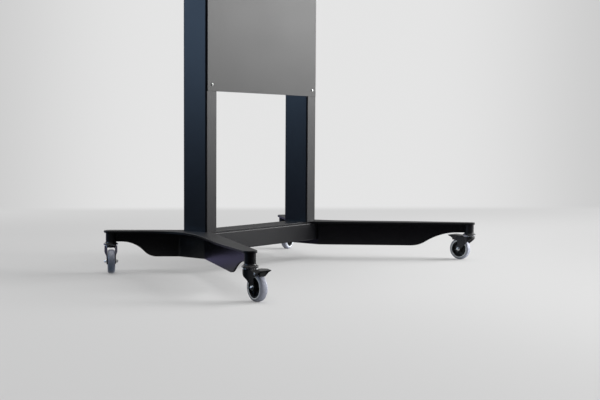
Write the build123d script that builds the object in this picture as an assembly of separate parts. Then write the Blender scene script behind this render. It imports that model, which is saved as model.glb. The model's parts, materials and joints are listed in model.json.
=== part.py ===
from build123d import *
import math
import os

# Presentation lectern on four castors. Millimetres, +Z up, floor at Z = 0.
# +X runs along the cross beam, -Y is the audience side and +Y the presenter's side.
# The origin is on the floor, in the middle of the footprint.

# Uprights and the parts between them
uprights_y = 173.0
upright_width = 54.0
upright_depth = 105.0
upright_wall = 3.0
upright_spread = 602.0
upright_top = 1050.0
upright_corner = 6.0
tube_corner = 3.0

# Base frame
beam_bottom = 71.0
beam_height = 62.0
beam_depth = 102.0
beam_wall = 4.0
plate_thickness = 6.0
leg_plate_thickness = 7.0
plate_edge = 0.8
foot_plate_depth = 90.0
foot_plate_overhang = 3.5
web_thickness = 6.0
web_x = 313.0
web_bottom = 52.0
web_bend_radius = 14.0
hub_front = -61.0
hub_rear = 57.0
front_splay = 34.5
rear_splay = 41.0
front_arm = 562.0
rear_arm = 230.0
socket_radius = 16.85
socket_bore = 11.25
socket_bottom = 103.0

# Underside of each arm: where the rise starts, its two arc radii and how far they turn
front_wave = (345.0, 103.0, 224.0, 32.3)
rear_wave = (77.0, 58.0, 100.5, 47.0)

# Top plate of a leg: its reach to the inner side, and the bowed outer side as
# distance from the bend and from the web
front_tip_radius = 20.5
rear_tip_radius = 23.0
plate_inner_reach = 22.0
plate_gap = 0.5
plate_notch = 8.5
front_bow = ((330.0, 41.0), (110.0, 45.0))
rear_bow = (60.0, 37.0)
widest_bow = (51.0, 7.0)
bow_lead = 5.0

# Front panel and rail
panel_bottom = 606.0
panel_height = 440.0
panel_width = 591.0
panel_thickness = 2.0
panel_screw_x = 274.0
panel_screw_inset = 22.0
rail_height = 40.0
rail_depth = 60.0
rail_top = 1036.0
cap_thickness = 6.0
cap_play = 0.2

# Small screws: shank and head radii, head height
screw_shank = 2.5
screw_head = 5.0
screw_head_height = 2.6

# Castors
wheel_radius = 40.0
trail = 37.0
tyre_width = 23.6
hub_radius = 29.0
hub_width = 22.0
boss_half = 12.6
axle_radius = 4.0
running_gap = 0.06
crown_top = 88.0
fork_thickness = 2.6
fork_head_radius = 21.4
fork_cheek_half = 15.4
ring_radius = 24.0
cup_underside = 91.0
stem_length = 26.0
king_pin_radius = 6.0
king_pin_head = 10.0
ball_radius = 2.5
ball_circle = 18.0
ball_count = 16
ball_height = 89.5
pedal_pivot = (52.0, 80.0)
pedal_pin_radius = 2.5
pedal_half = 18.0
pedal_wall = 2.3
pedal_pin_end = 17.0
block_gap = 2.6

# Desk and its tilt brackets
pivot_height = 1085.0
rest_tilt = 12.0
board_width = 640.0
board_depth = 440.0
board_front = -200.0
board_thickness = 19.0
board_underside = 45.0
bracket_base = 5.0
bracket_bolt_x = 285.0
bracket_bolt_y = 30.0
cheek_x = 262.0
cheek_thickness = 6.0
ear_gap = 0.3
ear_thickness = 5.0
ear_flange = 40.0
lug_radius = 18.0
lug_half = 40.0
tilt_bolt_radius = 5.0
stop_thickness = 3.0
stop_rise = 16.0

# Long enough to cut right through a castor, a bracket or a plate
through = 80.0

# Worked out from the sizes above
beam_top = beam_bottom + beam_height
plate_top = beam_top + plate_thickness
beam_half = web_x - web_thickness / 2
upright_x = (upright_spread - upright_width) / 2
upright_front = uprights_y - upright_depth / 2
front_corner = (web_x, uprights_y + hub_front)
rear_corner = (web_x, uprights_y + hub_rear)
front_heading = -90.0 + front_splay
rear_heading = 90.0 - rear_splay


def save(shape, node):
    export_step(shape, f"parts/{node}.step")


def save_pair(shape, node):
    """The right-hand piece as drawn, and the left-hand one as its mirror image."""
    save(shape, f"right_{node}")
    save(mirror(shape, Plane.YZ), f"left_{node}")


def outline(points, plane=Plane.XY):
    """Closed flat face through the points, in the plane's own axes."""
    return plane * make_face(Polyline(*points, close=True))


def rod(radius, length):
    """Cylinder that starts at the origin and runs along +Z."""
    return Cylinder(radius, length, align=(Align.CENTER, Align.CENTER, Align.MIN))


def along_x(shape):
    """Turns a shape built along +Z so that it runs along +X."""
    return Rot(0, 90, 0) * shape


def along_y(shape):
    """Turns a shape built along +Z so that it runs along +Y."""
    return Rot(-90, 0, 0) * shape


def cross_pin(x, z, radius):
    """Round pin across the castor, for a hole right through it."""
    return Pos(x, -through / 2, z) * along_y(rod(radius, through))


def tube(width, depth, length, wall, corner=tube_corner):
    """Rectangular tube along +Z from the origin, with round outer and inner corners."""
    inner_corner = max(corner - wall, 1.0)
    outer = RectangleRounded(width, depth, corner)
    inner = RectangleRounded(width - 2 * wall, depth - 2 * wall, inner_corner)
    return extrude(outer - inner, length)


def heading(angle, distance, sideways=0.0):
    """Step along a plan direction, and to the left of it."""
    a = math.radians(angle)
    return (
        distance * math.cos(a) - sideways * math.sin(a),
        distance * math.sin(a) + sideways * math.cos(a),
    )


def on_arm(corner, angle, distance, sideways=0.0):
    """Plan point on an arm, by its distance from the bend and from the web's middle."""
    step = heading(angle, distance, sideways)
    return (corner[0] + step[0], corner[1] + step[1])


front_stem = on_arm(front_corner, front_heading, front_arm)
rear_stem = on_arm(rear_corner, rear_heading, rear_arm)

# Each castor's place and the way its wheel trails, in degrees from +X towards +Y
castors = {
    "front_left": (-front_stem[0], front_stem[1], 253.0, True),
    "front_right": (front_stem[0], front_stem[1], 91.0, True),
    "rear_left": (-rear_stem[0], rear_stem[1], 229.5, False),
    "rear_right": (rear_stem[0], rear_stem[1], 11.0, False),
}


# The right leg is drawn; the left one is its mirror image.

def wave_cut(corner, angle, arm, wave):
    """Solid that trims an arm's underside to a rising S of two tangent arcs."""
    start, low_radius, high_radius, turn = wave
    a = math.radians(turn)
    middle = (start + low_radius * math.sin(a), web_bottom + low_radius * (1 - math.cos(a)))
    end = (middle[0] + high_radius * math.sin(a), middle[1] + high_radius * (1 - math.cos(a)))
    low = RadiusArc((start, web_bottom), middle, -low_radius)
    high = RadiusArc(middle, end, high_radius)
    beyond = arm + through
    tail = Polyline(end, (beyond, end[1]), (beyond, 0), (start, 0), (start, web_bottom))
    along = (*heading(angle, 1.0), 0)
    across = (*heading(angle, 0, -1.0), 0)
    side = Plane(origin=(*corner, 0), x_dir=along, z_dir=across)
    return extrude(side * make_face([low, high, tail]), through / 2, both=True)


def leg_web():
    """Bent plate on edge: straight past the beam's end, splayed to both castors."""
    front_tip = on_arm(front_corner, front_heading, front_arm)
    rear_tip = on_arm(rear_corner, rear_heading, rear_arm)
    path = FilletPolyline(front_tip, front_corner, rear_corner, rear_tip, radius=web_bend_radius)
    band = offset(path, web_thickness / 2, side=Side.BOTH)
    web = Pos(0, 0, web_bottom) * extrude(make_face(band.edges()), beam_top - web_bottom)
    web -= wave_cut(front_corner, front_heading, front_arm, front_wave)
    web -= wave_cut(rear_corner, rear_heading, rear_arm, rear_wave)
    for stem in (front_stem, rear_stem):
        web -= Pos(*stem, 0) * rod(socket_radius, beam_top)
    return web


def inner_at(corner, angle, y):
    """Where the inner edge of an arm's plate crosses a line of constant Y."""
    side = math.copysign(plate_inner_reach, angle)
    a = math.radians(angle)
    run = (y - corner[1] - side * math.cos(a)) / math.sin(a)
    return on_arm(corner, angle, run, side)


def leg_plate():
    """Flat top plate: straight inner edges, a bowed outer edge and round ends."""
    seam_x = upright_spread / 2 + foot_plate_overhang + plate_gap
    notch_front = uprights_y - foot_plate_depth / 2 - plate_notch
    notch_rear = uprights_y + foot_plate_depth / 2 + plate_notch

    front_inner = on_arm(front_corner, front_heading, front_arm, -front_tip_radius)
    front_end = on_arm(front_corner, front_heading, front_arm + front_tip_radius)
    front_outer = on_arm(front_corner, front_heading, front_arm, front_tip_radius)
    rear_inner = on_arm(rear_corner, rear_heading, rear_arm, rear_tip_radius)
    rear_end = on_arm(rear_corner, rear_heading, rear_arm + rear_tip_radius)
    rear_outer = on_arm(rear_corner, rear_heading, rear_arm, -rear_tip_radius)
    bow = Spline(
        front_outer,
        *[on_arm(front_corner, front_heading, run, side) for run, side in front_bow],
        (web_x + widest_bow[0], uprights_y + widest_bow[1]),
        on_arm(rear_corner, rear_heading, rear_bow[0], -rear_bow[1]),
        rear_outer,
        tangents=[heading(front_heading + 180 - bow_lead, 1.0), heading(rear_heading + bow_lead, 1.0)],
    )
    inner = Polyline(
        rear_inner,
        inner_at(rear_corner, rear_heading, notch_rear),
        (seam_x, notch_rear),
        (seam_x, notch_front),
        inner_at(front_corner, front_heading, notch_front),
        front_inner,
    )
    front_round = ThreePointArc(front_inner, front_end, front_outer)
    rear_round = ThreePointArc(rear_outer, rear_end, rear_inner)
    plate = extrude(make_face([inner, front_round, bow, rear_round]), leg_plate_thickness)
    plate = fillet(plate.edges().group_by(Axis.Z)[-1], plate_edge)
    return Pos(0, 0, beam_top) * plate


def frame():
    """Everything welded together: legs, beam, foot plate, uprights and upper rail."""
    save_pair(leg_web(), "leg_web")
    save_pair(leg_plate(), "leg_plate")

    socket_length = beam_top - socket_bottom
    socket = rod(socket_radius, socket_length) - rod(socket_bore, socket_length)
    places = [Pos(x, y, socket_bottom) for x, y, _, _ in castors.values()]
    save(Compound(children=[place * socket for place in places]), "castor_sockets")

    beam = along_x(tube(beam_height, beam_depth, 2 * beam_half, beam_wall))
    save(Pos(-beam_half, uprights_y, beam_bottom + beam_height / 2) * beam, "cross_beam")
    foot_length = upright_spread + 2 * foot_plate_overhang
    foot = Box(foot_length, foot_plate_depth, plate_thickness)
    save(Pos(0, uprights_y, beam_top + plate_thickness / 2) * foot, "foot_plate")

    rail_length = upright_spread - 2 * upright_width
    rail = along_x(tube(rail_height, rail_depth, rail_length, upright_wall))
    save(Pos(-rail_length / 2, uprights_y, rail_top - rail_height / 2) * rail, "upper_rail")


def panel_screw_places():
    low = panel_bottom + panel_screw_inset
    high = panel_bottom + panel_height - panel_screw_inset
    return [(x, z) for x in (-panel_screw_x, panel_screw_x) for z in (low, high)]


def bracket_bolt_places():
    sides = (-bracket_bolt_x, bracket_bolt_x)
    return [(x, uprights_y + y) for x in sides for y in (-bracket_bolt_y, bracket_bolt_y)]


def uprights():
    """Two tubes with threaded caps in their tops, and the sheet screwed to their fronts."""
    screw_length = 14.0
    sheet_front = upright_front - panel_thickness
    shank = along_y(rod(screw_shank, screw_length))
    shanks = [Pos(x, sheet_front, z) * shank for x, z in panel_screw_places()]
    post = tube(upright_width, upright_depth, upright_top - plate_top, upright_wall, upright_corner)
    for side, x in (("left", -upright_x), ("right", upright_x)):
        save(Pos(x, uprights_y, plate_top) * post - shanks, f"{side}_upright")

    sheet = Box(panel_width, panel_thickness, panel_height)
    middle = (0, upright_front - panel_thickness / 2, panel_bottom + panel_height / 2)
    save(Pos(*middle) * sheet - shanks, "front_panel")
    head = along_y(rod(screw_head, screw_head_height))
    head = fillet(head.edges().sort_by(Axis.Y)[0], 0.7 * screw_head_height)
    heads = [Pos(x, sheet_front - screw_head_height, z) * head for x, z in panel_screw_places()]
    save(Compound(children=[a + b for a, b in zip(heads, shanks)]), "panel_screws")


def head_brackets():
    """Caps in the uprights, and bolted to them the brackets that carry the tilt bolts."""
    bolt_radius = 4.0
    bolt_head_radius = 6.5
    bolt_head_height = 5.0
    hex_key_radius = 3.0
    grip = cap_thickness + 4.0
    inside = upright_wall + cap_play
    shank = rod(bolt_radius, grip + bracket_base)
    shanks = [Pos(x, y, upright_top - grip) * shank for x, y in bracket_bolt_places()]

    cap_corner = upright_corner - inside
    cap = RectangleRounded(upright_width - 2 * inside, upright_depth - 2 * inside, cap_corner)
    cap = Pos(0, uprights_y, upright_top - cap_thickness) * extrude(cap, cap_thickness)
    caps = [Pos(x, 0, 0) * cap - shanks for x in (-upright_x, upright_x)]
    save(Compound(children=caps), "upright_caps")

    key_hole = extrude(RegularPolygon(hex_key_radius, 6), bolt_head_height)
    bolt_head = rod(bolt_head_radius, bolt_head_height) - Pos(0, 0, bolt_head_height / 2) * key_hole
    heads = [Pos(x, y, upright_top + bracket_base) * bolt_head for x, y in bracket_bolt_places()]
    save(Compound(children=[a + b for a, b in zip(heads, shanks)]), "bracket_bolts")

    base_width = upright_width - 4.0
    base_depth = upright_depth - 8.0
    foot_half = 34.0
    lug_height = pivot_height - upright_top
    base = Pos(upright_x, uprights_y, upright_top + bracket_base / 2)
    base = base * Box(base_width, base_depth, bracket_base)
    cheek = outline(
        [
            (-foot_half, bracket_base),
            (foot_half, bracket_base),
            (lug_radius, lug_height),
            (-lug_radius, lug_height),
        ],
        Plane.YZ,
    )
    cheek += Plane.YZ * Pos(0, lug_height) * Circle(lug_radius)
    cheek = Pos(cheek_x, uprights_y, upright_top) * extrude(cheek, cheek_thickness)
    bore = Pos(cheek_x, uprights_y, pivot_height) * along_x(rod(tilt_bolt_radius, cheek_thickness))
    save_pair(base + cheek - bore - shanks, "head_bracket")

    nut_radius = 8.0
    nut_height = 6.0
    tilt_bolt = extrude(RegularPolygon(nut_radius, 6), nut_height) + rod(tilt_bolt_radius, 32.0)
    tilt_bolt = Pos(cheek_x - nut_height, uprights_y, pivot_height) * along_x(tilt_bolt)
    save(Compound(children=[tilt_bolt, mirror(tilt_bolt, Plane.YZ)]), "tilt_bolts")


def desk():
    """Board, ears, paper stop and screws, drawn level about the tilt bolts and then tipped."""
    tipped = Pos(0, uprights_y, pivot_height) * Rot(-rest_tilt, 0, 0)
    board_rear = board_front + board_depth
    ear_x = cheek_x + cheek_thickness + ear_gap
    flange_bottom = board_underside - ear_thickness

    screw_x = ear_x + ear_thickness - ear_flange / 2
    screw_length = 17.0
    screw_row = 60.0
    under = [(x, y) for x in (-screw_x, screw_x) for y in (-screw_row, 0.0, screw_row)]
    pins = [Pos(x, y, flange_bottom) * rod(screw_shank, screw_length) for x, y in under]
    head = rod(screw_head, screw_head_height)
    heads = [Pos(x, y, flange_bottom - screw_head_height) * head for x, y in under]
    save(tipped * Compound(children=[a + b for a, b in zip(heads, pins)]), "desk_screws")

    stop_screw_x = (-240.0, 0.0, 240.0)
    stop_pin_depth = 16.0
    stop_z = board_underside + board_thickness / 2
    pin = along_y(rod(2.0, stop_pin_depth + stop_thickness))
    stop_pins = [Pos(x, board_rear - stop_pin_depth, stop_z) * pin for x in stop_screw_x]
    head = along_y(rod(4.0, 2.0))
    stop_heads = [Pos(x, board_rear + stop_thickness, stop_z) * head for x in stop_screw_x]
    save(tipped * Compound(children=[a + b for a, b in zip(stop_heads, stop_pins)]), "stop_screws")

    board_corner = 20.0
    board_edge = 1.0
    board = extrude(RectangleRounded(board_width, board_depth, board_corner), board_thickness)
    board = chamfer(board.edges().group_by(Axis.Z)[-1], board_edge)
    board = Pos(0, (board_front + board_rear) / 2, board_underside) * board
    save(tipped * (board - pins - stop_pins), "desk_board")

    stop_length = board_width - 80.0
    stop_height = board_thickness + stop_rise
    stop = extrude(Plane.XZ * RectangleRounded(stop_length, stop_height, 8), stop_thickness)
    stop = Pos(0, board_rear + stop_thickness, board_underside + stop_height / 2) * stop
    save(tipped * (stop - stop_pins), "paper_stop")

    lug = outline(
        [(-lug_half, flange_bottom), (lug_half, flange_bottom), (lug_radius, 0), (-lug_radius, 0)],
        Plane.YZ,
    )
    lug += Plane.YZ * Circle(lug_radius)
    lug = Pos(ear_x, 0, 0) * extrude(lug, ear_thickness)
    flange_length = 4 * lug_half
    flange = Box(ear_flange, flange_length, ear_thickness)
    flange = Pos(screw_x, 0, board_underside - ear_thickness / 2) * flange
    bore = Pos(ear_x, 0, 0) * along_x(rod(tilt_bolt_radius + running_gap, ear_thickness))
    save_pair(tipped * (lug + flange - bore - pins), "desk_ear")
    knob_x = ear_x + ear_thickness + ear_gap
    save_pair(Pos(knob_x, uprights_y, pivot_height) * tilt_knob(), "tilt_knob")


def tilt_knob():
    """Clamping knob along +X: a boss and a grip with six finger hollows."""
    boss_height = 6.0
    grip_height = 14.0
    hollows = 6
    grip = rod(21.0, grip_height)
    hollow = Pos(25.0, 0, 0) * rod(8.0, grip_height)
    for step in range(hollows):
        grip -= Rot(0, 0, 360 / hollows * step) * hollow
    blind = rod(tilt_bolt_radius + running_gap, 15.0)
    return along_x(rod(9.0, boss_height) + Pos(0, 0, boss_height) * grip - blind)


# Castor pieces, drawn with the swivel axis on Z and the wheel trailing towards +X

def turned(points):
    """Solid of revolution about Z, from radius and height pairs."""
    return revolve(outline(points, Plane.XZ), Axis.Z)


def ball_groove(radius):
    """Ring of round section that the balls run in."""
    return revolve(Plane.XZ * Pos(ball_circle, ball_height) * Circle(radius), Axis.Z)


def swivel_head():
    """Upper cup: a stem for the socket, a short cone and a rim over the balls."""
    pin = king_pin_radius
    stem = socket_bore - 0.05
    stem_top = socket_bottom + stem_length
    body = turned([
        (pin, cup_underside),
        (ring_radius - 2.5, cup_underside),
        (ring_radius, cup_underside + 1.2),
        (ring_radius, cup_underside + 4.8),
        (ring_radius - 1.2, cup_underside + 6),
        (socket_radius + 2, socket_bottom - 3.5),
        (socket_radius + 0.6, socket_bottom),
        (stem, socket_bottom),
        (stem, stem_top),
        (pin, stem_top),
    ])
    return body - ball_groove(ball_radius + 0.05)


def king_pin():
    """Rivet that holds the fork up under the cup."""
    head_height = 3.2
    head_top = crown_top - fork_thickness - 0.3
    pin_length = socket_bottom + stem_length - head_top - 4.8
    foot = rod(king_pin_head, head_height)
    foot = chamfer(foot.edges().sort_by(Axis.Z)[0], 1.2)
    return Pos(0, 0, head_top - head_height) * foot + Pos(0, 0, head_top) * rod(king_pin_radius, pin_length)


def swivel_balls():
    ball = Pos(ball_circle, 0, ball_height) * Sphere(ball_radius)
    return Compound(children=[Rot(0, 0, 360 / ball_count * k) * ball for k in range(ball_count)])


def horseshoe(radius, half):
    """Flat plan of the fork: round in front, necking in to two parallel sides."""
    neck = 14.0
    side = Polyline((0, radius), (neck, half), (through, half), (through, -half), (neck, -half), (0, -radius))
    front = ThreePointArc((0, -radius), (-radius, 0), (0, radius))
    return make_face([front, side])


def fork(braked):
    """Pressed fork: a round head that necks in to two cheeks."""
    gauge = fork_thickness
    below = 20.0
    walls = horseshoe(fork_head_radius, fork_cheek_half)
    walls -= horseshoe(fork_head_radius - gauge, fork_cheek_half - gauge)
    walls = Pos(0, 0, below) * extrude(walls, crown_top - below)

    # Seen from the side: the leading edge slopes back to the axle, the trailing edge is waisted
    boss = 10.0
    front = -fork_head_radius - 1
    ear = (pedal_pivot[0] + 6.5, pedal_pivot[1]) if braked else (47.0, 84.0)
    edge = Polyline(
        (trail - boss, wheel_radius),
        (7.0, 61.0),
        (front, crown_top - gauge),
        (front, crown_top),
        (ear[0] - 9, crown_top),
        (ear[0], ear[1] + 3),
        (ear[0] - 2, ear[1] - 5),
        (42.5, 71.0),
        (40.0, 62.0),
        (42.0, 54.0),
        (trail + boss, wheel_radius),
    )
    round_end = ThreePointArc(edge @ 1, (trail, wheel_radius - boss), edge @ 0)
    cheek = extrude(Plane.XZ * make_face([edge, round_end]), through / 2, both=True)

    # The crown ends behind the king pin, where the wheel comes up between the cheeks
    crown_end = 20.0 if braked else 27.0
    crown = horseshoe(fork_head_radius, fork_cheek_half)
    crown &= Pos(crown_end - through / 2, 0) * Rectangle(through, through)
    crown = Pos(0, 0, crown_top - gauge) * extrude(crown, gauge)
    body = (walls & cheek) + crown
    shoulder = [edge for edge in body.edges().group_by(Axis.Z)[-1] if edge.center().X < 1]
    body = fillet(shoulder, 1.6)
    body -= rod(king_pin_radius + running_gap, crown_top)
    body -= ball_groove(ball_radius + 0.3)
    body -= cross_pin(trail, wheel_radius, axle_radius)
    if braked:
        body -= cross_pin(*pedal_pivot, pedal_pin_radius)
    return body


def axle_bolt():
    """Axle with a washer and a domed end on each side."""
    half = fork_cheek_half
    washer_height = 1.5
    dome = fillet(rod(5.4, 6.0).edges().sort_by(Axis.Z)[-1], 4.0)
    end = Pos(0, 0, half) * (rod(7.0, washer_height) + Pos(0, 0, washer_height) * dome)
    body = Pos(0, 0, -half) * rod(axle_radius, 2 * half) + end + Rot(180, 0, 0) * end
    return Pos(trail, 0, wheel_radius) * along_y(body)


def pedal_rivet():
    """Pin that the brake pedal turns on: a head on one side, its end blind in the other side plate."""
    reach = pedal_half + 0.2
    head = fillet(rod(4.0, 1.8).edges().sort_by(Axis.Z)[-1], 1.0)
    body = Pos(0, 0, -pedal_pin_end) * rod(pedal_pin_radius, pedal_pin_end + reach)
    body += Pos(0, 0, reach) * head
    return Pos(pedal_pivot[0], 0, pedal_pivot[1]) * Rot(90, 0, 0) * body


def wheel_hub():
    """Moulded hub: rim, dished web and a boss that runs on the axle."""
    web_half = 5.0
    half = [
        (axle_radius + running_gap, boss_half),
        (9.5, boss_half),
        (11.0, web_half),
        (hub_radius - 5.5, web_half),
        (hub_radius - 4.0, hub_width / 2),
        (hub_radius, hub_width / 2),
    ]
    points = half + [(r, -z) for r, z in reversed(half)]
    return Pos(trail, 0, wheel_radius) * along_y(turned(points))


def tyre():
    """Rubber tyre with round shoulders."""
    thickness = wheel_radius - hub_radius
    ring = Pos(hub_radius + thickness / 2, 0) * Rectangle(thickness, tyre_width)
    ring = fillet(ring.vertices().sort_by(Axis.X)[-2:], 8.0)
    ring = chamfer(ring.vertices().sort_by(Axis.X)[:2], 1.2)
    return Pos(trail, 0, wheel_radius) * along_y(revolve(Plane.XZ * ring, Axis.Z))


def brake_pedal():
    """Foot pedal: a treadle over two side plates that hang on the rivet."""
    side = outline([
        (31.0, 89.6), (33.0, 91.7), (63.0, 94.1), (80.5, 91.4), (81.0, 90.0), (67.0, 84.0),
        (58.5, 77.0), (54.0, 73.8), (48.5, 75.5), (45.0, 82.0), (40.0, 86.0),
    ], Plane.XZ)
    hollow = outline([
        (28.0, 88.4), (34.0, 88.7), (63.0, 90.9), (72.0, 87.0), (62.0, 60.0), (28.0, 60.0),
    ], Plane.XZ)
    body = extrude(side, pedal_half, both=True) - extrude(hollow, pedal_half - pedal_wall, both=True)
    pin_hole = rod(pedal_pin_radius + running_gap, through / 2 + pedal_pin_end + 0.2)
    return body - Pos(pedal_pivot[0], -through / 2, pedal_pivot[1]) * along_y(pin_hole)


def brake_block():
    """Block between the side plates, its face hollowed to the tyre's curve."""
    side = outline([(55.5, 89.9), (63.0, 90.7), (70.0, 87.6), (64.0, 72.0), (55.5, 72.0)], Plane.XZ)
    block = extrude(side, tyre_width / 2 - 1.5, both=True)
    return block - cross_pin(trail, wheel_radius, wheel_radius + block_gap)


def castor(name, x, y, angle, braked):
    place = Pos(x, y, 0) * Rot(0, 0, angle)
    pieces = {
        "swivel_head": swivel_head(),
        "king_pin": king_pin(),
        "swivel_balls": swivel_balls(),
        "fork": fork(braked),
        "axle_bolt": axle_bolt(),
        "wheel_hub": wheel_hub(),
        "tyre": tyre(),
    }
    if braked:
        pieces["pedal_rivet"] = pedal_rivet()
        pieces["brake_pedal"] = brake_pedal()
        pieces["brake_block"] = brake_block()
    for piece, shape in pieces.items():
        save(place * shape, f"{name}_{piece}")


os.makedirs("parts", exist_ok=True)
frame()
uprights()
head_brackets()
desk()
for castor_name, settings in castors.items():
    castor(castor_name, *settings)
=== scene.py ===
import json
import math
import bpy
import bmesh
import numpy as np
from mathutils import Matrix, Vector


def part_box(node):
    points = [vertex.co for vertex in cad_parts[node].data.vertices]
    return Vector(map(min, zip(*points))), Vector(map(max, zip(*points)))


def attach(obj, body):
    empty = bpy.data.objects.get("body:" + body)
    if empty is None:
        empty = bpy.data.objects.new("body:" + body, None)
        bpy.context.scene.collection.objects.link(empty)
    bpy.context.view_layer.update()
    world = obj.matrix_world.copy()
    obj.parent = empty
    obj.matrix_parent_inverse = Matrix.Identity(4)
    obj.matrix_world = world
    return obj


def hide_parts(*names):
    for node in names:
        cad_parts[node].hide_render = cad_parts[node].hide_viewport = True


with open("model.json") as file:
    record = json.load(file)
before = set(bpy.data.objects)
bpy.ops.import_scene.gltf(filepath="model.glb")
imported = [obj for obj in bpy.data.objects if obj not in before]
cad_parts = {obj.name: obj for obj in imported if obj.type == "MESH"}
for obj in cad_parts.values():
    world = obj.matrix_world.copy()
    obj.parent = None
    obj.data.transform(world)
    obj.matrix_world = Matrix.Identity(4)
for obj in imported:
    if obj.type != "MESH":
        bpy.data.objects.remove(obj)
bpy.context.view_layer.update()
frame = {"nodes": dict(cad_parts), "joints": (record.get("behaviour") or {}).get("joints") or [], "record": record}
nodes = frame["nodes"]
print("frame loaded:", len(nodes), "nodes")


# Shader nodes

class Wire:
    # One output socket. Sums on wires add the Math nodes that they need.
    def __init__(self, finish, socket):
        self.finish = finish
        self.socket = socket

    def sum(self, operation, first, second):
        return self.finish.node("ShaderNodeMath", {"operation": operation}, {0: first, 1: second})

    def __add__(self, other):
        return self.sum("ADD", self, other)

    def __radd__(self, other):
        return self.sum("ADD", other, self)

    def __sub__(self, other):
        return self.sum("SUBTRACT", self, other)

    def __rsub__(self, other):
        return self.sum("SUBTRACT", other, self)

    def __mul__(self, other):
        return self.sum("MULTIPLY", self, other)

    def __rmul__(self, other):
        return self.sum("MULTIPLY", other, self)


class Finish:
    # A material, its Principled shader and the nodes that vary it over the surface.
    def __init__(self, name, **constants):
        self.material = bpy.data.materials.new(name)
        self.material.use_nodes = True
        self.tree = self.material.node_tree
        self.shader = self.tree.nodes["Principled BSDF"]
        for socket, value in constants.items():
            self.shader.inputs[socket.replace("_", " ")].default_value = value

    def node(self, kind, settings=None, inputs=None, output=0):
        made = self.tree.nodes.new(kind)
        for key, value in (settings or {}).items():
            if key == "stops":
                ramp = made.color_ramp.elements
                while len(ramp) < len(value):
                    ramp.new(1)
                for element, (place, colour) in zip(ramp, value):
                    element.position = place
                    element.color = colour
            else:
                setattr(made, key, value)
        for key, value in (inputs or {}).items():
            self.join(value, made.inputs[key])
        return Wire(self, made.outputs[output])

    def join(self, value, socket):
        if isinstance(value, Wire):
            self.tree.links.new(value.socket, socket)
        else:
            socket.default_value = value

    def set(self, socket, value):
        self.join(value, self.shader.inputs[socket])

    def out(self, wire, name):
        # another output of the same node
        return Wire(self, wire.socket.node.outputs[name])

    def place(self, stretch=(1, 1, 1), turn=(0, 0, 0), centre=(0, 0, 0)):
        found = self.node("ShaderNodeTexCoord", output="Object")
        settings = {"vector_type": "POINT"}
        inputs = {"Vector": found, "Location": centre, "Rotation": turn, "Scale": stretch}
        return self.node("ShaderNodeMapping", settings, inputs)

    def noise(self, size, where=None, detail=3.0, output="Fac"):
        # size is the grain in metres
        inputs = {"Vector": where or self.place(), "Scale": 1 / size, "Detail": detail}
        return self.node("ShaderNodeTexNoise", inputs=inputs, output=output)

    def blend(self, factor, first, second):
        settings = {"data_type": "RGBA"}
        return self.node("ShaderNodeMix", settings, {"Factor": factor, "A": first, "B": second}, "Result")

    def relief(self, height, depth, strength=1.0):
        inputs = {"Height": height, "Distance": depth, "Strength": strength}
        self.set("Normal", self.node("ShaderNodeBump", inputs=inputs))

    def mark(self, name):
        # a value that the piece's own mesh carries
        return self.node("ShaderNodeAttribute", {"attribute_name": name}, output="Fac")

    def ramp(self, value, low, high):
        # 0 below low, 1 above high, smooth between
        settings = {"interpolation_type": "SMOOTHSTEP"}
        inputs = {"Value": value, "From Min": low, "From Max": high}
        return self.node("ShaderNodeMapRange", settings, inputs)

    def facingUp(self):
        # 1 on top faces, 0 on upright ones
        normal = self.node("ShaderNodeNewGeometry", output="Normal")
        rise = self.node("ShaderNodeSeparateXYZ", inputs={"Vector": normal}, output="Z")
        return self.ramp(rise, 0.6, 0.95)

    def height(self):
        where = self.node("ShaderNodeTexCoord", output="Object")
        return self.node("ShaderNodeSeparateXYZ", inputs={"Vector": where}, output="Z")

    def scratches(self, length, width, turn, amount):
        # thin marks: a stretched noise, kept only where it peaks
        where = self.place((1, 1, 1), turn)
        drawn = self.node("ShaderNodeVectorMath", {"operation": "MULTIPLY"},
                          {0: where, 1: (1 / width, 1 / length, 1 / length)})
        return self.ramp(self.noise(1.0, drawn, detail=1.0), 0.80 - amount, 0.86 - amount)


def rgb(colour, level=1.0):
    return (*[level * part for part in colour], 1)


# Painted, plastic, rubber and plated finishes

coat = dict(
    colour=(0.0040, 0.0040, 0.0052),   # black with a touch of blue
    dust=(0.020, 0.020, 0.021),
    rough=0.34,
    gloss=0.32,
    peel=0.0011,                       # size of the orange peel
    peelDepth=0.00003,
    webPolish=0.12,                    # how much smoother the leg webs are
)


def paintBlack(name, colour=coat["colour"], rough=coat["rough"], gloss=coat["gloss"]):
    # powder coat: soft clouding, orange peel, a little dust on top faces and scuffs low down
    look = Finish(name, Specular_IOR_Level=gloss)
    cloud = look.noise(0.14, detail=4.0)
    peel = look.noise(coat["peel"], detail=2.0)
    speck = look.noise(0.0004, detail=1.0)
    low = 1 - look.ramp(look.height(), 0.08, 0.22)
    scuff = look.scratches(0.030, 0.0007, (0.3, 0.2, 0.6), 0.02) * (0.25 + 0.5 * low)
    dust = look.facingUp() * (0.20 + 0.35 * cloud)
    base = look.blend(cloud, rgb(colour, 0.8), rgb(colour, 1.25))
    base = look.blend(dust, base, rgb(coat["dust"]))
    look.set("Base Color", look.blend(scuff, base, rgb((0.03, 0.03, 0.032))))
    worn = rough - 0.04 + 0.07 * cloud + 0.05 * speck + 0.10 * dust + 0.12 * scuff
    look.set("Roughness", worn - coat["webPolish"] * look.mark("web"))
    look.relief(peel + 0.3 * speck, coat["peelDepth"])
    return look.material


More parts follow.
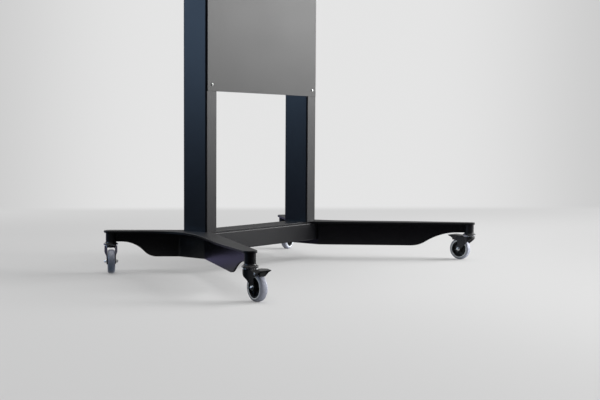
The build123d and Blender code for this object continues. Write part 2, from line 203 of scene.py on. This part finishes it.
def paintPanel():
    # sheet metal under a finer coat, so the gloss wavers slowly over it
    look = Finish("panel powder coat", Specular_IOR_Level=0.345)
    colour = (0.0062, 0.0062, 0.0060)
    wave = look.noise(0.22, look.place((1, 1, 1.6)), detail=2.0)
    cloud = look.noise(0.05, detail=5.0)
    peel = look.noise(0.0009, detail=2.0)
    rub = look.scratches(0.05, 0.0006, (0, 0.7, 0), 0.0)
    look.set("Base Color", look.blend(cloud, rgb(colour, 0.8), rgb(colour, 1.25)))
    look.set("Roughness", 0.34 + 0.05 * wave + 0.04 * cloud + 0.05 * peel + 0.10 * rub)
    look.relief(0.9 * peel + 8.0 * wave, 0.00003)
    return look.material


def laminate():
    # charcoal board face with a fine straight grain; its edge band is plainer and a shade darker
    look = Finish("desk laminate", Specular_IOR_Level=0.25)
    band = look.mark("band")
    fibre = look.noise(0.0009, look.place((0.06, 1, 1)), detail=4.0)
    figure = look.noise(0.02, look.place((0.12, 1, 1)), detail=5.0)
    speck = look.noise(0.0005, detail=1.0)
    face = look.blend(0.5 * fibre + 0.5 * figure, rgb((0.040, 0.040, 0.042)), rgb((0.088, 0.087, 0.086)))
    edge = look.blend(speck, rgb((0.030, 0.030, 0.031)), rgb((0.040, 0.040, 0.041)))
    look.set("Base Color", look.blend(band, face, edge))
    look.set("Roughness", 0.42 + 0.14 * fibre - 0.06 * band)
    look.relief((1 - band) * fibre + 0.3 * speck, 0.00004)
    return look.material


def brushedAluminium():
    # anodised, with its brush marks along the stop
    look = Finish("satin aluminium", Metallic=1.0)
    brush = look.noise(0.0004, look.place((0.02, 1, 1)), detail=3.0)
    tone = look.noise(0.06, detail=3.0)
    shade = 0.5 * brush + 0.5 * tone
    look.set("Base Color", look.blend(shade, rgb((0.50, 0.50, 0.51)), rgb((0.66, 0.66, 0.68))))
    look.set("Roughness", 0.26 + 0.16 * brush)
    look.relief(brush, 0.00002)
    return look.material


rubber = dict(
    tread=(0.31, 0.325, 0.39),
    # the bead colour is partly lighter rubber and partly painted light: it is made paler to stand in for the light
    # the ring catches
    bead=(0.80, 0.85, 0.88),       # the moulded ring beside the hub
    dirt=(0.16, 0.16, 0.16),
    rough=0.33,
)


def tyreRubber():
    # grey rubber: a side bead paler than the tread, partly its own lighter rubber and partly painted light for the
    # light it catches from the floor; a dusty tread with fine scuffs across it, and a faint mould line
    look = Finish("grey rubber", Specular_IOR_Level=0.4)
    ring = look.mark("bead")
    tread = look.mark("tread")
    cloud = look.noise(0.010, detail=5.0)
    grain = look.noise(0.0006, detail=2.0)
    worn = tread * look.ramp(cloud, 0.42, 0.75)
    base = look.blend(cloud, rgb(rubber["tread"], 0.88), rgb(rubber["tread"], 1.12))
    # the pale ring: lighter rubber, with painted light in its colour
    base = look.blend(ring, base, rgb(rubber["bead"]))
    look.set("Base Color", look.blend(0.35 * worn, base, rgb(rubber["dirt"])))
    look.set("Roughness", rubber["rough"] + 0.14 * worn + 0.08 * grain - 0.06 * ring)
    look.relief(grain + 0.8 * worn * cloud, 0.00005)
    return look.material


def blockRubber():
    look = Finish("block rubber", Specular_IOR_Level=0.3)
    cloud = look.noise(0.008, detail=4.0)
    grain = look.noise(0.0005, detail=2.0)
    look.set("Base Color", look.blend(cloud, rgb((0.016, 0.016, 0.017)), rgb((0.030, 0.030, 0.030))))
    look.set("Roughness", 0.62 + 0.16 * grain + 0.06 * cloud)
    look.relief(grain, 0.00006)
    return look.material


def mouldedPlastic(name, colour, rough, grainSize, grainDepth, gloss=0.4):
    # moulded plastic with a spark-eroded grain, rubbed a little smoother in patches
    look = Finish(name, Specular_IOR_Level=gloss)
    cell = look.node("ShaderNodeTexVoronoi", {"feature": "SMOOTH_F1"},
                     {"Vector": look.place(), "Scale": 1 / grainSize, "Smoothness": 0.6}, "Distance")
    cloud = look.noise(0.012, detail=4.0)
    dust = look.facingUp() * cloud
    base = look.blend(cloud, rgb(colour, 0.8), rgb(colour, 1.25))
    look.set("Base Color", look.blend(0.35 * dust, base, rgb((0.05, 0.05, 0.052))))
    look.set("Roughness", rough + 0.10 * cell - 0.06 * cloud + 0.08 * dust)
    look.relief(cell, grainDepth)
    return look.material


def zincPlate():
    # zinc: faint blue and straw tints, fine polish lines and a few dull spots
    look = Finish("bright zinc", Metallic=1.0)
    tint = look.noise(0.006, detail=3.0)
    line = look.noise(0.0003, look.place((1, 1, 0.08)), detail=2.0)
    dull = look.ramp(look.noise(0.0022, detail=4.0), 0.60, 0.72)
    base = look.blend(tint, rgb((0.60, 0.63, 0.70)), rgb((0.70, 0.69, 0.63)))
    look.set("Base Color", look.blend(0.5 * dull, base, rgb((0.36, 0.37, 0.38))))
    look.set("Roughness", 0.33 + 0.10 * line + 0.15 * dull)
    look.relief(line + 0.4 * dull, 0.00001)
    return look.material


cup = dict(rimLow=0.0921, rimHigh=0.0953, rimEdge=0.0003)


def cupFinish():
    # the cup is black; its rim is bare plated steel, rubbed bright where the fork turns under it
    look = Finish("swivel cup", Specular_IOR_Level=0.35)
    tall = look.height()
    rim = look.ramp(tall, cup["rimLow"], cup["rimLow"] + cup["rimEdge"])
    rim = rim * (1 - look.ramp(tall, cup["rimHigh"], cup["rimHigh"] + cup["rimEdge"]))
    grain = look.noise(0.0008, detail=3.0)
    worn = rim * (0.86 + 0.14 * look.ramp(grain, 0.3, 0.6))
    look.set("Base Color", look.blend(worn, rgb((0.006, 0.006, 0.007)), rgb((0.66, 0.67, 0.70))))
    look.set("Metallic", worn)
    look.set("Roughness", 0.32 - 0.22 * worn + 0.06 * grain)
    look.relief(grain, 0.00002)
    return look.material


finishes = {
    "black_coat": paintBlack("black powder coat"),
    "panel_grey": paintPanel(),
    "desk_laminate": laminate(),
    "satin_aluminium": brushedAluminium(),
    "grey_rubber": tyreRubber(),
    "block_rubber": blockRubber(),
    "hub_plastic": mouldedPlastic("hub plastic", (0.0040, 0.0040, 0.0048), 0.38, 0.0009, 0.00003),
    "black_plastic": mouldedPlastic("black plastic", (0.009, 0.009, 0.0095), 0.14, 0.0007, 0.00001, 0.9),
    "fork_coat": paintBlack("fork coat", (0.0055, 0.0055, 0.0060), 0.26, 0.60),
    "swivel_cup": cupFinish(),
    "bright_zinc": zincPlate(),
}
slotOf = {row["node"]: row["material_slot"] for row in frame["record"]["subparts"]}
bodyOf = {node: body for body, held in frame["record"]["behaviour"]["bodies"].items() for node in held}
for name, piece in nodes.items():
    piece.data.materials.clear()
    piece.data.materials.append(finishes[slotOf[name]])
print("finishes:", len(finishes))


# Pieces

def settle(mesh, name, body, slot, stands):
    # puts a finished mesh into the scene and says what it is
    piece = bpy.data.objects.new(name, mesh)
    bpy.context.scene.collection.objects.link(piece)
    mesh.materials.clear()
    mesh.materials.append(finishes[slot])
    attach(piece, body)
    if stands:
        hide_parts(*stands)
    return piece


def gridFaces(rows, columns, ring, first=0):
    # four-sided faces of a grid that closes on itself round the columns, and round the rows too if ring
    across = np.arange(columns)
    down = np.arange(rows if ring else rows - 1)[:, None]
    nextDown = (down + 1) % rows
    corners = (down * columns + across, nextDown * columns + across,
               nextDown * columns + (across + 1) % columns, down * columns + (across + 1) % columns)
    return (first + np.stack(corners, -1)).reshape(-1, 4).tolist()


def shell(name, sheets, body, slot, stands=(), ring=False, marks=None, sharp=32):
    # sheets are point grids (rows, columns, 3); an open end row is closed by one face
    vertices, faces, first = [], [], 0
    for points in sheets:
        rows, columns = points.shape[:2]
        faces += gridFaces(rows, columns, ring, first)
        if not ring:
            ends = first + np.arange(columns)
            faces += [ends.tolist(), (ends + (rows - 1) * columns).tolist()]
        vertices.append(points.reshape(-1, 3))
        first += rows * columns
    mesh = bpy.data.meshes.new(name)
    mesh.from_pydata(np.concatenate(vertices), [], faces)
    for key, values in (marks or {}).items():
        layer = mesh.attributes.new(key, "FLOAT", "POINT")
        layer.data.foreach_set("value", np.tile(values.ravel(), len(sheets)).astype(np.float32))
    work = bmesh.new()
    work.from_mesh(mesh)
    bmesh.ops.recalc_face_normals(work, faces=work.faces)
    work.to_mesh(mesh)
    work.free()
    mesh.polygons.foreach_set("use_smooth", np.ones(len(mesh.polygons), bool))
    mesh.set_sharp_from_angle(angle=math.radians(sharp))
    return settle(mesh, name, body, slot, stands)


def smooth(value, low, high):
    t = np.clip((value - low) / (high - low), 0, 1)
    return t * t * (3 - 2 * t)


def turnedOn(centre, axis, along, radius, angles):
    # points of a surface of revolution: radius and height along the axis go round it
    axis = np.array(Vector(axis).normalized())
    first = np.array(Vector(axis).orthogonal().normalized())
    second = np.cross(axis, first)
    spin = np.cos(angles)[..., None] * first + np.sin(angles)[..., None] * second
    return np.array(centre) + along[..., None] * axis + radius[..., None] * spin


def angleGrid(rows, columns):
    return np.broadcast_to(np.linspace(0, 2 * math.pi, columns, endpoint=False), (rows, columns))


def softened(node, width, segments=2, limit=30, mark=None):
    # a copy of a CAD piece with its sharp edges rolled over; mark is 1 all over it
    mesh = nodes[node].data.copy()
    work = bmesh.new()
    work.from_mesh(mesh)
    bmesh.ops.remove_doubles(work, verts=work.verts, dist=0.000002)
    bmesh.ops.dissolve_limit(work, angle_limit=math.radians(0.4), verts=work.verts, edges=work.edges)
    bmesh.ops.recalc_face_normals(work, faces=work.faces)
    work.to_mesh(mesh)
    work.free()
    mesh.polygons.foreach_set("use_smooth", np.ones(len(mesh.polygons), bool))
    if mark:
        layer = mesh.attributes.new(mark, "FLOAT", "POINT")
        layer.data.foreach_set("value", np.ones(len(mesh.vertices), np.float32))
    piece = settle(mesh, node + ".soft", bodyOf[node], slotOf[node], [node])
    edge = piece.modifiers.new("rolled edges", "BEVEL")
    edge.width = width
    edge.segments = segments
    edge.limit_method = "ANGLE"
    edge.angle_limit = math.radians(limit)
    flat = piece.modifiers.new("flat faces stay flat", "WEIGHTED_NORMAL")
    flat.mode = "FACE_AREA"
    flat.weight = 60
    return piece


# Frame pieces whose edges are rolled, and by how much

rolled = dict(
    left_leg_web=0.0005, right_leg_web=0.0005, left_leg_plate=0.0004, right_leg_plate=0.0004,
    foot_plate=0.0006, cross_beam=0.0004, upper_rail=0.0004, left_upright=0.0004, right_upright=0.0004,
    castor_sockets=0.0006, upright_caps=0.0008, front_panel=0.0005, left_head_bracket=0.0007,
    right_head_bracket=0.0007, left_desk_ear=0.0006, right_desk_ear=0.0006, paper_stop=0.0005,
    bracket_bolts=0.0005, tilt_bolts=0.0004, desk_screws=0.0004, stop_screws=0.0004,
)
for node, width in rolled.items():
    softened(node, width, mark="web" if node.endswith("leg_web") else None)
print("rolled edges:", len(rolled))


# Castors

joints = {joint["name"]: joint for joint in frame["joints"]}
castorNames = [name[:-5] for name in joints if name.endswith("_roll")]

tyreShape = dict(radius=0.040, half=0.0118, inner=0.029, shoulder=0.0312, square=0.74, bead=0.0005,
                 mouldLine=0.00012)


def makeTyre(name):
    # The outside is a superellipse: width goes with cos(a)^p and height with sin(a)^p. The side below
    # it is flat with a raised bead, and a small ridge runs round the middle of the tread.
    shape = tyreShape
    arc = np.linspace(0, math.pi, 61)
    outAcross = shape["half"] * np.sign(np.cos(arc)) * np.abs(np.cos(arc)) ** shape["square"]
    rise = shape["radius"] - shape["mouldLine"] - shape["shoulder"]
    outReach = shape["shoulder"] + rise * np.abs(np.sin(arc)) ** shape["square"]
    outReach += shape["mouldLine"] * np.exp(-(outAcross / 0.0004) ** 2)
    low = np.linspace(shape["inner"], shape["shoulder"], 10)[:-1]
    raised = smooth(low, 0.0294, 0.0300) * (1 - smooth(low, 0.0306, 0.0312))
    side = shape["half"] - shape["bead"] * (1 - raised)
    across = np.concatenate([side, outAcross, -side[::-1]])
    reach = np.concatenate([low, outReach, low[::-1]])
    columns = 144
    grid = np.ones((1, columns))
    joint = joints[name + "_roll"]
    points = turnedOn(joint["pos_m"], joint["axis"], across[:, None] * grid, reach[:, None] * grid,
                      angleGrid(len(reach), columns))
    bead = 1 - smooth(reach, 0.0318, 0.0326)
    tread = smooth(reach, 0.0375, 0.0392)
    shell(name + ".tyre", [points], name + "_wheel", "grey_rubber", [name + "_tyre"], ring=True,
          marks={"bead": bead[:, None] * grid, "tread": tread[:, None] * grid})


hubShape = dict(bore=0.00406, boss=0.0095, bossHalf=0.0126, web=0.0036, ribs=6, ribHeight=0.0042,
                ribWidth=0.0011, rimInner=0.0246, rimOuter=0.0290, rimHalf=0.0110)


def makeHub(name):
    # Half of the section is radius against half width; ribs stand on the web between boss and rim,
    # each a smooth bump in arc length from its own direction. The other half mirrors it.
    shape = hubShape
    reach = np.concatenate([
        [shape["bore"], shape["bore"] + 0.0004], np.linspace(0.0050, 0.0088, 5), [0.0093, shape["boss"]],
        [0.0096, 0.0100, 0.0106], np.linspace(0.0115, 0.0234, 14), [0.0240, 0.0244, shape["rimInner"]],
        [0.0248, 0.0252, 0.0270, 0.0284, shape["rimOuter"]],
    ])
    base = np.full(len(reach), shape["web"])
    base += (shape["bossHalf"] - shape["web"]) * (1 - smooth(reach, 0.0092, 0.0104))
    base += (shape["rimHalf"] - shape["web"]) * smooth(reach, 0.0238, 0.0250)
    base[0] -= 0.0005
    base[-1] -= 0.0004
    columns = 180
    angles = angleGrid(len(reach), columns)
    step = 2 * math.pi / shape["ribs"]
    offset = np.abs((angles + step / 2) % step - step / 2) * reach[:, None]
    rib = 1 - smooth(offset, 0.7 * shape["ribWidth"], 1.3 * shape["ribWidth"])
    width = base[:, None] + shape["ribHeight"] * rib * ((reach > 0.0104) & (reach < 0.0238))[:, None]
    across = np.concatenate([width, -width[::-1]])
    reach = np.concatenate([reach, reach[::-1]])[:, None] * np.ones((1, columns))
    joint = joints[name + "_roll"]
    points = turnedOn(joint["pos_m"], joint["axis"], across, reach, angleGrid(len(reach), columns))
    shell(name + ".hub", [points], name + "_wheel", "hub_plastic", [name + "_wheel_hub"], ring=True)


for name in castorNames:
    makeTyre(name)
    makeHub(name)
    softened(name + "_fork", 0.0005, 3)
    softened(name + "_swivel_head", 0.0005, 3)
    softened(name + "_axle_bolt", 0.0003)
    softened(name + "_king_pin", 0.0004)
    if name + "_brake_press" in joints:
        softened(name + "_brake_pedal", 0.0007, 3)
        softened(name + "_brake_block", 0.0008, 3)
        softened(name + "_pedal_rivet", 0.0002)
print("castors:", len(castorNames))


# Panel screws

screwShape = dict(head=0.0050, height=0.0026, shank=0.0025, reach=0.0140, key=0.0017, keyDepth=0.0015)


def makePanelScrews():
    # Button heads: height falls off as a circle's edge, and a six-sided hole is pushed in where the
    # radius is under the key's half width over the cosine of the angle from its nearest side.
    shape = screwShape
    low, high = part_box("panel_screws")
    columns = 96
    reach = np.concatenate([[shape["shank"], shape["shank"]], np.linspace(shape["head"], 0.0004, 26)])
    angles = angleGrid(len(reach), columns)
    step = math.pi / 3
    keyEdge = shape["key"] / np.cos((angles % step) - step / 2)
    domed = shape["height"] * np.sqrt(np.clip(1 - (reach / shape["head"]) ** 2.6, 0, 1))[:, None]
    height = domed - shape["keyDepth"] * (1 - smooth(reach[:, None], keyEdge - 0.00008, keyEdge + 0.00008))
    height[0] = -shape["reach"] + shape["height"]
    height[1] = 0.0
    around = reach[:, None] * np.ones((1, columns))
    sheets = []
    inset = shape["head"]
    for x in (low[0] + inset, high[0] - inset):
        for z in (low[2] + inset, high[2] - inset):
            face = (x, low[1] + shape["height"], z)
            sheets.append(turnedOn(face, (0, -1, 0), height, around, angles))
    shell("panel_screws.heads", sheets, "frame", "bright_zinc", ["panel_screws"], sharp=40)


makePanelScrews()


# Clamping knobs

knobShape = dict(lobes=6, radius=0.0205, hollow=0.0033, bore=0.00512, boreDepth=0.0149, boss=0.0090)


def makeKnob(side):
    # The grip's outline is its radius less a rounded wave, six times round; going up the profile the
    # outline is drawn in at both edges, and the face is dished.
    shape = knobShape
    profile = np.array([
        # height, plain radius, share of the lobed outline
        (shape["boreDepth"], 0.0003, 0), (shape["boreDepth"], shape["bore"], 0), (0.0004, shape["bore"], 0),
        (0.0001, 0.0056, 0), (0.0001, 0.0084, 0), (0.0006, shape["boss"], 0), (0.0058, shape["boss"], 0),
        (0.0061, -0.0040, 1), (0.0066, -0.0012, 1), (0.0080, -0.0002, 1), (0.0100, 0, 1), (0.0165, 0, 1),
        (0.0182, -0.0004, 1), (0.0193, -0.0013, 1), (0.0198, -0.0028, 1), (0.0197, -0.0042, 1),
        (0.0191, 0.0110, 0), (0.0189, 0.0080, 0), (0.0189, 0.0060, 0), (0.0189, 0.0004, 0),
    ])
    columns = 180
    angles = angleGrid(len(profile), columns)
    wave = (0.5 + 0.5 * np.cos(shape["lobes"] * angles)) ** 1.4
    lobed = shape["radius"] - shape["hollow"] * wave
    reach = profile[:, 1, None] + profile[:, 2, None] * lobed
    along = profile[:, 0, None] * np.ones((1, columns))
    joint = joints[side + "_knob_turn"]
    low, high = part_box(side + "_tilt_knob")
    inner = low[0] if joint["axis"][0] > 0 else high[0]
    centre = (inner, joint["pos_m"][1], joint["pos_m"][2])
    points = turnedOn(centre, joint["axis"], along, reach, angles)
    node = side + "_tilt_knob"
    shell(node + ".grip", [points], side + "_knob", "black_plastic", [node], sharp=40)


for side in ("left", "right"):
    makeKnob(side)
print("knobs and screws")


# Desk board

boardShape = dict(width=0.640, depth=0.440, thick=0.019, corner=0.020, tilt=12.0, under=0.045, middle=0.020)


def makeBoard():
    # A rounded rectangle is carried up a profile of insets, and then tipped about the tilt bolts.
    shape = boardShape
    top = shape["thick"]
    profile = np.array([
        # inset, height
        (-0.0040, 0), (-0.0008, 0), (-0.0002, 0.0002), (0, 0.0008),
        (0, top - 0.0008), (-0.0003, top - 0.0003), (-0.0010, top), (-0.0040, top),
    ])
    turn = np.linspace(0, 0.5 * math.pi, 13)
    quarter = np.concatenate([turn + k * 0.5 * math.pi for k in range(4)])
    signX = np.repeat([1, -1, -1, 1], len(turn))
    signY = np.repeat([1, 1, -1, -1], len(turn))
    reach = shape["corner"] + profile[:, 0, None]
    x = signX * (shape["width"] / 2 - shape["corner"]) + reach * np.cos(quarter)
    y = shape["middle"] + signY * (shape["depth"] / 2 - shape["corner"]) + reach * np.sin(quarter)
    z = shape["under"] + profile[:, 1, None] * np.ones_like(x)
    lean = math.radians(shape["tilt"])
    pivot = joints["desk_tilt"]["pos_m"]
    points = np.stack([x, pivot[1] + y * math.cos(lean) + z * math.sin(lean),
                       pivot[2] - y * math.sin(lean) + z * math.cos(lean)], -1)
    band = np.isin(np.arange(len(profile)), (2, 3, 4, 5))[:, None] * np.ones_like(x)
    shell("desk_board.top", [points], "desk", "desk_laminate", ["desk_board"], marks={"band": band})


makeBoard()


# Weld beads

bead = dict(radius=0.0017, pitch=0.0042, ripple=0.14, fade=0.003, step=0.0006, columns=12)


def beadAlong(start, end):
    # a round rope whose radius ripples along its length and dies away at both ends
    start, end = np.array(start), np.array(end)
    length = np.linalg.norm(end - start)
    along = np.linspace(0, length, int(length / bead["step"]))
    taper = np.sqrt(smooth(along, -0.0005, bead["fade"]) * smooth(length - along, -0.0005, bead["fade"]))
    radius = bead["radius"] * taper * (1 - bead["ripple"] * np.abs(np.cos(math.pi * along / bead["pitch"])))
    grid = np.ones((1, bead["columns"]))
    return turnedOn(start, end - start, along[:, None] * grid, radius[:, None] * grid,
                    angleGrid(len(along), bead["columns"]))


def makeWelds():
    beamLow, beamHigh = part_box("cross_beam")
    footLow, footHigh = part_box("foot_plate")
    railLow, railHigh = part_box("upper_rail")
    seams = []
    for x in (beamLow[0], beamHigh[0]):
        for y in (beamLow[1], beamHigh[1]):
            seams.append(((x, y, beamLow[2] + 0.003), (x, y, beamHigh[2] - 0.001)))
        seams.append(((x, beamLow[1] + 0.004, beamLow[2]), (x, beamHigh[1] - 0.004, beamLow[2])))
    for x in (railLow[0], railHigh[0]):
        seams.append(((x, footLow[1] + 0.002, footHigh[2]), (x, footHigh[1] - 0.002, footHigh[2])))
        for y in (railLow[1], railHigh[1]):
            seams.append(((x, y, railLow[2] + 0.003), (x, y, railHigh[2] - 0.003)))
    for k, (start, end) in enumerate(seams):
        shell("weld_bead_%02d" % k, [beadAlong(start, end)], "frame", "black_coat", sharp=60)
    print("weld beads:", len(seams))


makeWelds()


# Studio

studio = dict(
    floorColour=0.575,                # near the object
    floorBounce=0.50,                 # how much of the light it throws back at the object
    leftBounce=(0.06, 0.13, 0.20),    # the same on the left
    poolPlace=(2.6, -2.6, 0.0),       # where the key softbox shines on the floor
    poolReach=(0.8, 3.5),
    poolColour=0.11,
    veilLevel=0.66,                   # a plain tone laid over the near floor, which softens its shadows
    veil=0.35,
    veilRun=(1.2, 2.9),               # where it thickens towards the backdrop, and by how much
    veilFar=0.85,
    paleColour=0.78,                  # the far floor and the backdrop, which run into each other
    edgeColour=0.60,                  # both of them away from their bright middle
    glowFrom=(-2.9, -2.3),            # the bright middle fans out from here
    glowHeading=52.0,                 # in this direction, in degrees from +Y towards +X
    glowSpread=(0.955, 0.995),
    floorHalf=40.0,
    coveDistance=3.0,                 # from the origin to where the floor turns pale
    coveTurn=45.0,                    # direction of that line's normal, in degrees from +X
    coveWidth=0.25,
    fill=0.10,                        # light from all round
    mirroredPale=0.30,                # the backdrop as gloss sees it
    darkSide=0.01,                    # what gloss sees beside and behind the camera
    coolSide=(0.205, 0.19, 0.34),     # what gloss sees of the floor on the left
    patchPlace=(-0.62, 0.28, 0.0),    # a paler part of it
    patchReach=(0.10, 0.36),
    patchLevel=0.55,
    shadePlace=(-1.02, 0.85, 0.0),    # a darker part
    shadeReach=(0.30, 0.52),
    shadeLevel=0.03,
)


class World(Finish):
    # The background's own nodes, written as a finish's are.
    def __init__(self, name):
        self.world = bpy.data.worlds.new(name)
        self.world.use_nodes = True
        self.tree = self.world.node_tree
        self.shader = self.tree.nodes["Background"]


def grey(level):
    return (level, level, level, 1)


def dot(look, first, second):
    return look.node("ShaderNodeVectorMath", {"operation": "DOT_PRODUCT"}, {0: first, 1: second}, "Value")


def awayFrom(look, where, spot):
    # 0 within the spot's reach and 1 beyond it
    apart = {0: where, 1: studio[spot + "Place"]}
    run = look.node("ShaderNodeVectorMath", {"operation": "DISTANCE"}, apart, "Value")
    return look.ramp(run, *studio[spot + "Reach"])


def glowAt(look, direction):
    # pale level by the direction in plan: 1 in the middle of the glow, 0 at its sides
    turn = math.radians(studio["glowHeading"])
    flat = look.node("ShaderNodeVectorMath", {"operation": "MULTIPLY"}, {0: direction, 1: (1, 1, 0)})
    flat = look.node("ShaderNodeVectorMath", {"operation": "NORMALIZE"}, {0: flat})
    return look.ramp(dot(look, flat, (math.sin(turn), math.cos(turn), 0)), *studio["glowSpread"])


def makeFloor():
    half = studio["floorHalf"]
    corners = [(-half, -half, 0), (half, -half, 0), (half, half, 0), (-half, half, 0)]
    mesh = bpy.data.meshes.new("studio floor")
    mesh.from_pydata(corners, [], [(0, 1, 2, 3)])
    floor = bpy.data.objects.new("studio floor", mesh)
    bpy.context.scene.collection.objects.link(floor)
    look = Finish("studio floor", Roughness=0.9, Specular_IOR_Level=0.1)
    ray = look.node("ShaderNodeLightPath")
    seen = look.out(ray, "Is Camera Ray")
    glossy = look.out(ray, "Is Glossy Ray")
    where = look.node("ShaderNodeTexCoord", output="Object")
    # the colour fades under the key softbox, so that the light pool there stays plain
    pool = awayFrom(look, where, "pool")
    tone = look.blend(pool, grey(studio["poolColour"]), grey(studio["floorColour"]))
    aim = math.radians(studio["glowHeading"])
    leftward = dot(look, where, (-math.cos(aim), math.sin(aim), 0))
    far = look.ramp(leftward, 0.2, 0.6)
    bounce = look.blend(far, grey(studio["floorBounce"]), rgb(studio["leftBounce"]))
    look.set("Base Color", look.blend(seen + glossy, bounce, tone))
    turn = math.radians(studio["coveTurn"])
    run = dot(look, where, (math.cos(turn), math.sin(turn), 0))
    start, soft = studio["coveDistance"], studio["coveWidth"]
    past = look.ramp(run, start - soft, start + soft)
    apart = {0: where, 1: (*studio["glowFrom"], 0)}
    fan = look.node("ShaderNodeVectorMath", {"operation": "SUBTRACT"}, apart)
    shown = look.blend(glowAt(look, fan), grey(studio["edgeColour"]), grey(studio["paleColour"]))
    pale = look.node("ShaderNodeEmission", inputs={"Color": shown})
    veil = look.node("ShaderNodeEmission", inputs={"Color": grey(studio["veilLevel"])})
    # the veil thickens in the light pool and towards the backdrop, where nothing of the object stands
    thin = pool * (1 - studio["veilFar"] * look.ramp(run, *studio["veilRun"]))
    share = seen * (1 - (1 - studio["veil"]) * thin)
    near = look.node("ShaderNodeMixShader", inputs={
        0: share, 1: Wire(look, look.shader.outputs[0]), 2: veil})
    surface = look.node("ShaderNodeMixShader", inputs={0: past, 1: near, 2: pale})
    # gloss sees the floor dark in front of the object and cool to its left
    front = look.ramp(dot(look, where, (-math.sin(aim), -math.cos(aim), 0)), -0.20, 0.25)
    left = look.ramp(leftward, -0.1, 0.3)
    dim = look.blend(front, rgb(studio["coolSide"]), grey(studio["darkSide"]))
    dim = look.blend(awayFrom(look, where, "shade"), grey(studio["shadeLevel"]), dim)
    dim = look.blend(awayFrom(look, where, "patch"), grey(studio["patchLevel"]), dim)
    dimLight = look.node("ShaderNodeEmission", inputs={"Color": dim})
    part = glossy * (1 - (1 - front) * (1 - left))
    surface = look.node("ShaderNodeMixShader", inputs={0: part, 1: surface, 2: dimLight})
    look.join(surface, look.tree.nodes["Material Output"].inputs["Surface"])
    mesh.materials.append(look.material)


def makeBackdrop(ahead):
    # Pale where the camera looks; gloss sees it pale behind the object and dark on the camera's side.
    sky = World("studio")
    ray = sky.node("ShaderNodeLightPath")
    seen = sky.out(ray, "Is Camera Ray")
    glossy = sky.out(ray, "Is Glossy Ray")
    through = sky.out(ray, "Is Transmission Ray")
    direction = sky.node("ShaderNodeTexCoord", output="Generated")
    side = sky.ramp(dot(sky, direction, tuple(ahead)), -0.2, 0.6)
    mirrored = sky.blend(side, grey(studio["darkSide"]), grey(studio["mirroredPale"]))
    level = sky.blend(glossy + through, grey(studio["fill"]), mirrored)
    shown = sky.blend(glowAt(sky, direction), grey(studio["edgeColour"]), grey(studio["paleColour"]))
    sky.set("Color", sky.blend(seen, level, shown))
    bpy.context.scene.world = sky.world


# Lights. glow is the brightness of a softbox's face, where 1 is white. Those that aren't matt light
# gloss only, and the low one lights everything but gloss.

overhead = dict(energy=1.7, angle=55)
softboxes = {
    "key softbox": dict(place=(2.9, -2.2, 2.0), target=(0, 0.1, 1.2), size=(2.4, 2.1), glow=11.2),
    "lower softbox": dict(place=(2.9, -2.2, 0.5), target=(0, 0.1, 0.5), size=(2.4, 0.8), glow=3.5,
                          matt=False),
    "low softbox": dict(place=(2.1, -3.05, 0.7), target=(0.2, -0.3, 0.1), size=(1.4, 0.9), glow=34.0,
                        gloss=False),
    "side softbox": dict(place=(-2.9, 2.1, 1.6), target=(0, 0.2, 0.7), size=(2.2, 1.9), glow=4.2,
                         colour=(0.44, 0.66, 1.0), matt=False),
    "rear softbox": dict(place=(0.6, 4.6, 2.3), target=(0, 0.2, 0.6), size=(2.6, 1.6), glow=3.0,
                         matt=False),
}


def softbox(name, place, target, size, glow, colour=(1, 1, 1), matt=True, gloss=True):
    lamp = bpy.data.lights.new(name, "AREA")
    lamp.shape = "RECTANGLE"
    lamp.size, lamp.size_y = size
    lamp.energy = glow * math.pi * size[0] * size[1]
    lamp.color = colour
    box = bpy.data.objects.new(name, lamp)
    box.location = place
    box.rotation_euler = (Vector(target) - Vector(place)).to_track_quat("-Z", "Y").to_euler()
    box.visible_diffuse = matt
    box.visible_glossy = gloss
    bpy.context.scene.collection.objects.link(box)


def makeLights():
    sun = bpy.data.objects.new("overhead", bpy.data.lights.new("overhead", "SUN"))
    sun.data.energy = overhead["energy"]
    sun.data.angle = math.radians(overhead["angle"])
    bpy.context.scene.collection.objects.link(sun)
    for name, box in softboxes.items():
        softbox(name, **box)



# Camera

view = dict(place=(-2.8925, -2.2723, 0.4626), yaw=52.33, down=3.49, roll=0.33, lens=63.88, sensor=36.0)
yaw, down, roll = (math.radians(view[key]) for key in ("yaw", "down", "roll"))
ahead = Vector((math.sin(yaw) * math.cos(down), math.cos(yaw) * math.cos(down), -math.sin(down)))
aside = Vector((math.cos(yaw), -math.sin(yaw), 0))
upright = aside.cross(ahead)
across = aside * math.cos(roll) + upright * math.sin(roll)
above = upright * math.cos(roll) - aside * math.sin(roll)
camera = bpy.data.objects.new("camera", bpy.data.cameras.new("camera"))
camera.data.lens = view["lens"]
camera.data.sensor_width = view["sensor"]
turned = Matrix((across, above, -ahead)).transposed().to_4x4()
camera.matrix_world = Matrix.Translation(view["place"]) @ turned
bpy.context.scene.collection.objects.link(camera)
bpy.context.scene.camera = camera
bpy.context.scene.view_settings.view_transform = "Standard"
makeFloor()
makeBackdrop(ahead)
makeLights()
print("studio and camera")
